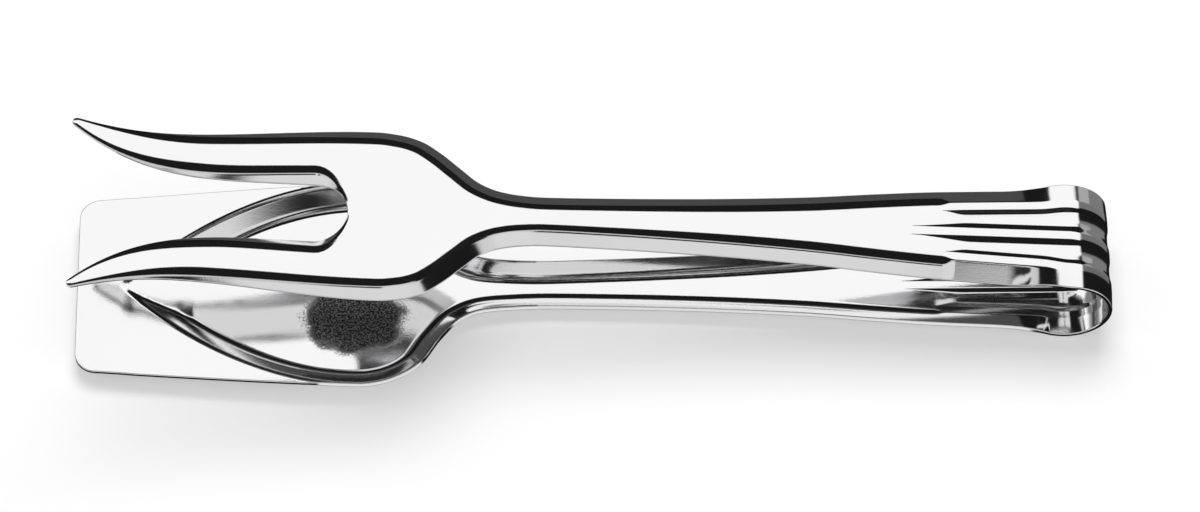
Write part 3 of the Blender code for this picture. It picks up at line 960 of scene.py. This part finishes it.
class TongsSteel(bpy.types.PropertyGroup):
    """The polish of the steel."""

    colour_low: bpy.props.FloatVectorProperty(
        name="Darker tint", description="Steel colour where the polish is thin",
        default=(0.86, 0.86, 0.865), **COLOUR,
    )
    colour_high: bpy.props.FloatVectorProperty(
        name="Lighter tint", description="Steel colour where the polish is full",
        default=(0.90, 0.90, 0.905), **COLOUR,
    )
    outer_roughness: bpy.props.FloatProperty(
        name="Outer roughness", description="Roughness of the outer face", default=0.075, **SHARE,
    )
    inner_roughness: bpy.props.FloatProperty(
        name="Inner roughness", description="Roughness of the inner face", default=0.065, **SHARE,
    )
    outer_grain: bpy.props.FloatProperty(
        name="Outer grain", description="Strength of the grain left on the outer face",
        default=0.10, **SHARE,
    )
    inner_grain: bpy.props.FloatProperty(
        name="Inner grain", description="Strength of the grain left on the inner face",
        default=0.16, **SHARE,
    )
    # The colour of a dark reflection painted onto the inner face over the leaf's floor
    painted_reflection_colour: bpy.props.FloatVectorProperty(
        name="Painted reflection tint", description="Colour of the dark reflection painted onto the leaf's floor",
        default=(0.035, 0.035, 0.038), **COLOUR,
    )
    # Roughness added where that dark reflection is painted
    painted_reflection_roughness: bpy.props.FloatProperty(
        name="Painted reflection roughness", description="Roughness added where the dark reflection is painted", default=0.35,
        **SHARE,
    )
    grain_scale: bpy.props.FloatProperty(
        name="Grain scale", description="How fine the grain is, in grains to a metre",
        default=2600.0, min=100.0, max=20000.0,
    )


class TongsStudio(bpy.types.PropertyGroup):
    """The floor, the soft boxes and the lamp."""

    floor_colour: bpy.props.FloatVectorProperty(
        name="Floor", description="Colour of the floor", default=(0.95, 0.95, 0.95), **COLOUR,
    )
    floor_glow: bpy.props.FloatProperty(
        name="Background share", description="How far the floor shows as plain white background",
        default=0.46, **SHARE,
    )
    floor_level: bpy.props.FloatProperty(
        name="Mirrored floor", description="Brightness of the floor as the metal shows it",
        default=0.85, **LEVEL,
    )
    box_level: bpy.props.FloatProperty(
        name="Soft box level", description="Brightness of the soft boxes", default=1.05, **LEVEL,
    )
    side_share: bpy.props.FloatProperty(
        name="Side share", description="Brightness of the sides and of the soft boxes' ends",
        default=0.2, **SHARE,
    )
    room_level: bpy.props.FloatProperty(
        name="Room level", description="Brightness of the dark room between them", default=0.01,
        **LEVEL,
    )
    wall_level: bpy.props.FloatProperty(
        name="Wall level", description="Brightness of the grey wall behind", default=0.06,
        **LEVEL,
    )
    front_level: bpy.props.FloatProperty(
        name="Front level", description="Brightness of the wall behind the camera", default=0.8,
        **LEVEL,
    )
    lamp_power: bpy.props.FloatProperty(
        name="Lamp power", description="Power of the wide lamp that lights the floor, in watts",
        default=26.0, min=0.0, max=500.0, subtype="POWER", unit="POWER",
    )


# The operators

class TongsOperator:
    """What the operators share."""

    bl_options = {"REGISTER", "UNDO"}

    def steels(self, context):
        """The materials of the outer and the inner face, made when they are first asked for."""
        look = context.scene.tongs_steel
        return [
            bpy.data.materials.get(name) or polished_steel(name, look, inner)
            for name, inner in (("steel_outer", False), ("steel_inner", True))
        ]


class TONGS_OT_spatula_arm(TongsOperator, bpy.types.Operator):
    """Build the lower arm, from the bow to the spatula"""

    bl_idname = "tongs.spatula_arm"
    bl_label = "Spatula arm"

    def execute(self, context):
        half = solid_half(SpatulaForm(), context.scene.tongs_sheet.edge_radius)
        piece = make_piece("polished_spatula_arm", half, LOWER_ARM, self.steels(context))
        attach(piece, "spatula_arm")
        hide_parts("spatula_arm")
        return {"FINISHED"}


class TONGS_OT_fork_arm(TongsOperator, bpy.types.Operator):
    """Build the upper arm, from the bow to the fork"""

    bl_idname = "tongs.fork_arm"
    bl_label = "Fork arm"

    def execute(self, context):
        half = solid_half(ForkForm(), context.scene.tongs_sheet.edge_radius)
        piece = make_piece("polished_fork_arm", half, UPPER_ARM, self.steels(context))
        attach(piece, "fork_arm")
        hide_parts("fork_arm")
        return {"FINISHED"}


class TONGS_OT_bow(TongsOperator, bpy.types.Operator):
    """Build the sprung bow between the arms"""

    bl_idname = "tongs.bow"
    bl_label = "Bow"

    def execute(self, context):
        half = bow_half(ForkForm(), context.scene.tongs_sheet.edge_radius)
        piece = make_piece("polished_bow", half, BOW_FRAME, self.steels(context))
        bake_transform(piece)
        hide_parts(*[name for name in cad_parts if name.startswith("bow_segment")])
        return {"FINISHED"}


class TONGS_OT_stage(TongsOperator, bpy.types.Operator):
    """Build the floor, the soft boxes, the lamp and the camera"""

    bl_idname = "tongs.stage"
    bl_label = "Studio"

    def execute(self, context):
        studio = context.scene.tongs_studio
        make_floor(studio)
        make_world(context.scene, studio)
        make_lamp(studio)
        make_camera(context.scene)
        context.scene.view_settings.view_transform = "Standard"
        return {"FINISHED"}


# The studio

WHITE = (1.0, 1.0, 1.0, 1.0)
FLOOR_HALF_SIZE = 0.5
FLOOR_PLAIN_REACH = 0.25
LAMP_PLACE = (0.05, 0.75, 1.6)
LAMP_SIZE = 1.1

# What the metal mirrors. A lean is how far a mirrored ray is from straight up, in degrees towards
# the camera's side, and X, Y and Z are the parts of its direction. Two numbers are where a light
# starts and where it is full. Four are a low and a high limit, each with its softness after it.

LEFT_X = (-0.50, -0.60)
REAR_BOX_LEAN = (-46.0, 3.0, -24.0, 3.0)
REAR_BOX_LEFT_GROWTH = 34.0
FRONT_BOX_LEAN = (-6.0, -3.0)
FRONT_BOX_LEVEL = 0.58
FRONT_BOX_RISE_LEAN = (-4.0, 14.0)
FRONT_BOX_RISE = 0.14
FRONT_BOX_END_LEAN = (33.0, 27.0)
FRONT_BOX_SHIFT = 12.0
FRONT_BOX_SHIFT_X = (0.30, 0.45)
SLOT_LEAN = (4.0, 3.0, 21.0, 5.0)
SLOT_LEFT_X = (-0.13, 0.03, 0.0, 0.03)
SLOT_RIGHT_X = (0.06, 0.03, 0.195, 0.02)
BOX_FULL_X = (-0.80, -0.72)
REAR_WALL_LEAN = (-101.0, 2.0, -73.0, 3.0)
FRONT_WALL_LEAN = (54.0, 5.0, 91.0, 1.0)
FRONT_WALL_LEFT_GROWTH = 16.0
REAR_FLOOR_LEAN = (-126.0, 8.0, -99.0, 2.0)
REAR_FLOOR_X = (-0.36, -0.28)
FLOOR_BELOW_LEAN = (-118.0, -126.0)
FLOOR_BELOW_X = (-0.34, 0.04, -0.118, 0.024)
FRONT_FLOOR_LEAN = (90.0, 1.0, 124.0, 8.0)

# To the right, which the bow and the arms' right-hand sides mirror, and at both far ends

RIGHT_X = (0.53, 0.60)
RIGHT_REAR_Y = (0.525, 0.545)
RIGHT_FRONT_Y = (-0.22, -0.34)
RIGHT_PATCH_Y = (0.575, 0.600)
RIGHT_PATCH_Z = (0.15, 0.22)
RIGHT_PATCH_LEVEL = 0.22
END_X = (0.84, 0.90)
END_Y = (-0.14, 0.05, 0.10, 0.05)
END_Z = (-0.10, -0.04)


def make_floor(studio):
    """A floor that shows as white but for the shadow on it. The metal shows the world's floor."""
    material = bpy.data.materials.new("studio_floor")
    material.use_nodes = True
    graph = Graph(material.node_tree)
    matt = graph.node("ShaderNodeBsdfDiffuse", values={"Color": (*studio.floor_colour, 1.0)})
    glow = graph.node("ShaderNodeEmission", values={"Color": WHITE, "Strength": 1.0})
    path = graph.node("ShaderNodeLightPath", output="Is Camera Ray")
    place = graph.node("ShaderNodeTexCoord", output="Object")
    distance = graph.node(
        "ShaderNodeVectorMath", {"operation": "LENGTH"}, {0: place}, output="Value",
    )
    far = step_between(graph, distance, FLOOR_PLAIN_REACH, FLOOR_HALF_SIZE)
    share = path * (studio.floor_glow + (1 - studio.floor_glow) * far)
    mixed = graph.node("ShaderNodeMixShader", values={0: share, 1: matt, 2: glow})
    graph.node("ShaderNodeOutputMaterial", values={"Surface": mixed})

    size = FLOOR_HALF_SIZE
    corners = [(-size, -size, 0), (size, -size, 0), (size, size, 0), (-size, size, 0)]
    mesh = bpy.data.meshes.new("studio_floor")
    mesh.from_pydata(corners, [], [(0, 1, 2, 3)])
    mesh.materials.append(material)
    floor = add_object("studio_floor", mesh)
    floor.location.z = CAD_BOX[0].z - SHEET / 10
    floor.visible_glossy = False


def make_world(scene, studio):
    """What the metal mirrors, by direction alone. The camera itself sees plain white.

    Two soft boxes hang overhead with a dark gap between them, and the front one has a dark slot.
    Round them are a grey wall behind, a white one in front and a bright floor.
    """
    world = bpy.data.worlds.new("studio")
    scene.world = world
    world.use_nodes = True
    graph = Graph(world.node_tree)
    direction = graph.node("ShaderNodeTexCoord", output="Generated")
    parts = graph.node("ShaderNodeSeparateXYZ", values={"Vector": direction})
    x, y, z = parts, parts.output("Y"), parts.output("Z")
    angle = graph.node("ShaderNodeMath", {"operation": "ARCTAN2"}, {0: 0.0 - y, 1: z})
    lean = angle * (180 / math.pi)

    def step(value, limits):
        return step_between(graph, value, *limits)

    def band(value, limits, growth=0.0):
        """1 between two limits, of which the low one is further down by the growth."""
        low, low_soft, high, high_soft = limits
        return step(value + growth, (low, low + low_soft)) * step(high - value, (0.0, high_soft))

    to_left = step(x, LEFT_X)
    rear_box = band(lean, REAR_BOX_LEAN, REAR_BOX_LEFT_GROWTH * to_left)
    front_lean = lean - FRONT_BOX_SHIFT * step(x, FRONT_BOX_SHIFT_X)
    front_box = (
        step(front_lean, FRONT_BOX_LEAN) * FRONT_BOX_LEVEL
        + step(front_lean, FRONT_BOX_RISE_LEAN) * FRONT_BOX_RISE
    )
    slot = band(lean, SLOT_LEAN) * (band(x, SLOT_LEFT_X) + band(x, SLOT_RIGHT_X))
    front_box = front_box * (1 - slot) * step(lean, FRONT_BOX_END_LEAN)
    box_share = step(x, BOX_FULL_X) * (1 - studio.side_share) + studio.side_share
    front_wall = band(lean, FRONT_WALL_LEAN, FRONT_WALL_LEFT_GROWTH * to_left)
    floor = (
        band(lean, REAR_FLOOR_LEAN) * step(x, REAR_FLOOR_X)
        + step(lean, FLOOR_BELOW_LEAN) * band(x, FLOOR_BELOW_X)
        + band(lean, FRONT_FLOOR_LEAN)
    )
    left = (
        (rear_box + front_box) * box_share * studio.box_level
        + band(lean, REAR_WALL_LEAN) * studio.wall_level
        + front_wall * studio.front_level + floor * studio.floor_level
    )

    right = (
        step(y, RIGHT_REAR_Y) * studio.side_share
        + step(y, RIGHT_FRONT_Y) * studio.front_level
        + step(y, RIGHT_PATCH_Y) * step(z, RIGHT_PATCH_Z) * RIGHT_PATCH_LEVEL
    )
    to_right = step(x, RIGHT_X)
    ends = (step(x, END_X) + step(0.0 - x, END_X)) * band(y, END_Y) * step(z, END_Z)
    level = left * (1 - to_right) + right * to_right + ends * studio.box_level + studio.room_level

    path = graph.node("ShaderNodeLightPath", output="Is Camera Ray")
    strength = level * (1 - path) + path
    lit = graph.node("ShaderNodeBackground", values={"Color": WHITE, "Strength": strength})
    graph.node("ShaderNodeOutputWorld", values={"Surface": lit})


def make_lamp(studio):
    """A wide lamp above and behind. Metal doesn't show it, so that it only softens the floor."""
    light = bpy.data.lights.new("wide_lamp", "AREA")
    light.energy = studio.lamp_power
    light.shape = "SQUARE"
    light.size = LAMP_SIZE
    lamp = add_object("wide_lamp", light)
    lamp.location = LAMP_PLACE
    lamp.rotation_euler = (-Vector(LAMP_PLACE)).to_track_quat("-Z", "Y").to_euler()
    lamp.visible_glossy = False
    lamp.visible_camera = False


def make_camera(scene):
    data = bpy.data.cameras.new("camera")
    data.lens = data.sensor_width * CAMERA_LENS_SHARE
    data.clip_start, data.clip_end = CAMERA_CLIP
    camera = add_object("camera", data)
    camera.location = CAMERA_PLACE
    aim = (Vector(CAMERA_TARGET) - Vector(CAMERA_PLACE)).to_track_quat("-Z", "Y")
    camera.rotation_euler = (aim.to_matrix() @ Matrix.Rotation(CAMERA_ROLL, 3, "Z")).to_euler()
    scene.camera = camera


class TONGS_PT_panel(bpy.types.Panel):
    """Lists the pieces of the tongs and their values"""

    bl_label = "Serving tongs"
    bl_idname = "TONGS_PT_panel"
    bl_space_type = "VIEW_3D"
    bl_region_type = "UI"
    bl_category = "Tongs"

    def draw(self, context):
        layout = self.layout
        for operator in OPERATORS:
            layout.operator(operator.bl_idname)
        for group in GROUPS:
            values = getattr(context.scene, group)
            box = layout.box()
            for name in values.bl_rna.properties.keys():
                if name not in ("rna_type", "name"):
                    box.prop(values, name)


OPERATORS = (TONGS_OT_spatula_arm, TONGS_OT_fork_arm, TONGS_OT_bow, TONGS_OT_stage)
GROUPS = {"tongs_sheet": TongsSheet, "tongs_steel": TongsSteel, "tongs_studio": TongsStudio}
CLASSES = (*GROUPS.values(), *OPERATORS, TONGS_PT_panel)


def register():
    for cls in CLASSES:
        bpy.utils.register_class(cls)
    for name, cls in GROUPS.items():
        setattr(bpy.types.Scene, name, bpy.props.PointerProperty(type=cls))


def unregister():
    for name in GROUPS:
        delattr(bpy.types.Scene, name)
    for cls in reversed(CLASSES):
        bpy.utils.unregister_class(cls)


def main():
    register()
    bpy.ops.tongs.spatula_arm()
    bpy.ops.tongs.fork_arm()
    bpy.ops.tongs.bow()
    bpy.ops.tongs.stage()


if __name__ == "__main__":
    main()
